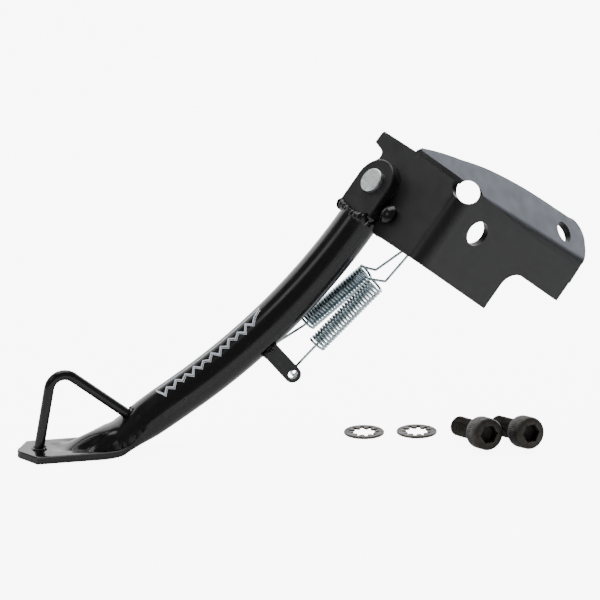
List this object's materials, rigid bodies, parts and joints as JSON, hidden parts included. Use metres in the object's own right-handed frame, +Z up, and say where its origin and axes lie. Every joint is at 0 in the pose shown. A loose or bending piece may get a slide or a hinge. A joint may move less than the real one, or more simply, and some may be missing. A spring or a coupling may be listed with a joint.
{
  "type": "scooter side stand",
  "caption": "Side stand kit: bent sheet bracket, curved tubular leg with pressed foot and rod tang, hinged on a riveted pin, return coil springs, loose screws and toothed washers.",
  "frame": {"origin": "middle of the foot plate's underside, on the ground", "axes": "+Z up from the ground, +X from the foot towards the bracket, +Y away from the side that carries the pin head; the leg's bend lies in the XZ plane"},
  "size_m": [0.2875, 0.0759, 0.158],
  "materials": {
    "black_paint": "satin to gloss powder coat",
    "zinc": "bright zinc plate",
    "spring_zinc": "bright bluish zinc plate",
    "black_oxide": "black oxide, oiled"
  },
  "bodies": {
    "bracket": {"bracket": "black_paint", "pivot_bush": "zinc", "friction_washer_front": "zinc", "friction_washer_rear": "zinc", "stop_pin": "black_paint", "spring_post": "black_paint"},
    "leg": {"leg_tube": "black_paint", "ear_front": "black_paint", "ear_rear": "black_paint", "ear_weld_front": "black_paint", "ear_weld_rear": "black_paint", "pivot_pin": "zinc", "pin_washer": "zinc", "tang": "black_paint", "spring_lug_front": "black_paint", "spring_lug_rear": "black_paint"},
    "front_spring": {"spring_front": "spring_zinc"},
    "rear_spring": {"spring_rear": "spring_zinc"},
    "front_hook": {"spring_hook_front": "spring_zinc"},
    "rear_hook": {"spring_hook_rear": "spring_zinc"},
    "screw_1": {"cap_screw_1": "black_oxide"},
    "screw_2": {"cap_screw_2": "black_oxide"},
    "washer_1": {"lock_washer_1": "black_oxide"},
    "washer_2": {"lock_washer_2": "black_oxide"}
  },
  "joints": [
    {"name": "leg_pivot", "type": "hinge", "parent": "bracket", "child": "leg", "pos_m": [0.1618, 0.002, 0.1237], "axis": [0.6969, 0.3943, -0.599], "range_deg": [0, 100], "stiffness_Nm_per_rad": 1.5, "springref_deg": -45.84},
    {"name": "front_spring_swing", "type": "hinge", "parent": "bracket", "child": "front_spring", "pos_m": [0.19349, -0.01996, 0.11681], "axis": [0.6969, 0.3943, -0.599], "range_deg": [0, 77.1]},
    {"name": "rear_spring_swing", "type": "hinge", "parent": "bracket", "child": "rear_spring", "pos_m": [0.19767, -0.0176, 0.11321], "axis": [0.6969, 0.3943, -0.599], "range_deg": [0, 76.1]},
    {"name": "front_hook_swing", "type": "hinge", "parent": "leg", "child": "front_hook", "pos_m": [0.1149, -0.006, 0.0344], "axis": [0.6969, 0.3943, -0.599], "range_deg": [-24.9, 0]},
    {"name": "rear_hook_swing", "type": "hinge", "parent": "leg", "child": "rear_hook", "pos_m": [0.1076, 0.0104, 0.0416], "axis": [0.6969, 0.3943, -0.599], "range_deg": [-25.9, 0]},
    {"name": "screw_1_lift", "type": "slide", "parent": "bracket", "child": "screw_1", "axis": [0, 0, 1], "range_m": [0, 0.05]},
    {"name": "screw_2_lift", "type": "slide", "parent": "bracket", "child": "screw_2", "axis": [0, 0, 1], "range_m": [0, 0.05]},
    {"name": "washer_1_lift", "type": "slide", "parent": "bracket", "child": "washer_1", "axis": [0, 0, 1], "range_m": [0, 0.05]},
    {"name": "washer_2_lift", "type": "slide", "parent": "bracket", "child": "washer_2", "axis": [0, 0, 1], "range_m": [0, 0.05]}
  ],
  "couplings": [
    {"joint": "front_spring_swing", "follows": "leg_pivot", "ratio": 0.7614},
    {"joint": "rear_spring_swing", "follows": "leg_pivot", "ratio": 0.7508},
    {"joint": "front_hook_swing", "follows": "leg_pivot", "ratio": -0.2386},
    {"joint": "rear_hook_swing", "follows": "leg_pivot", "ratio": -0.2492}
  ]
}
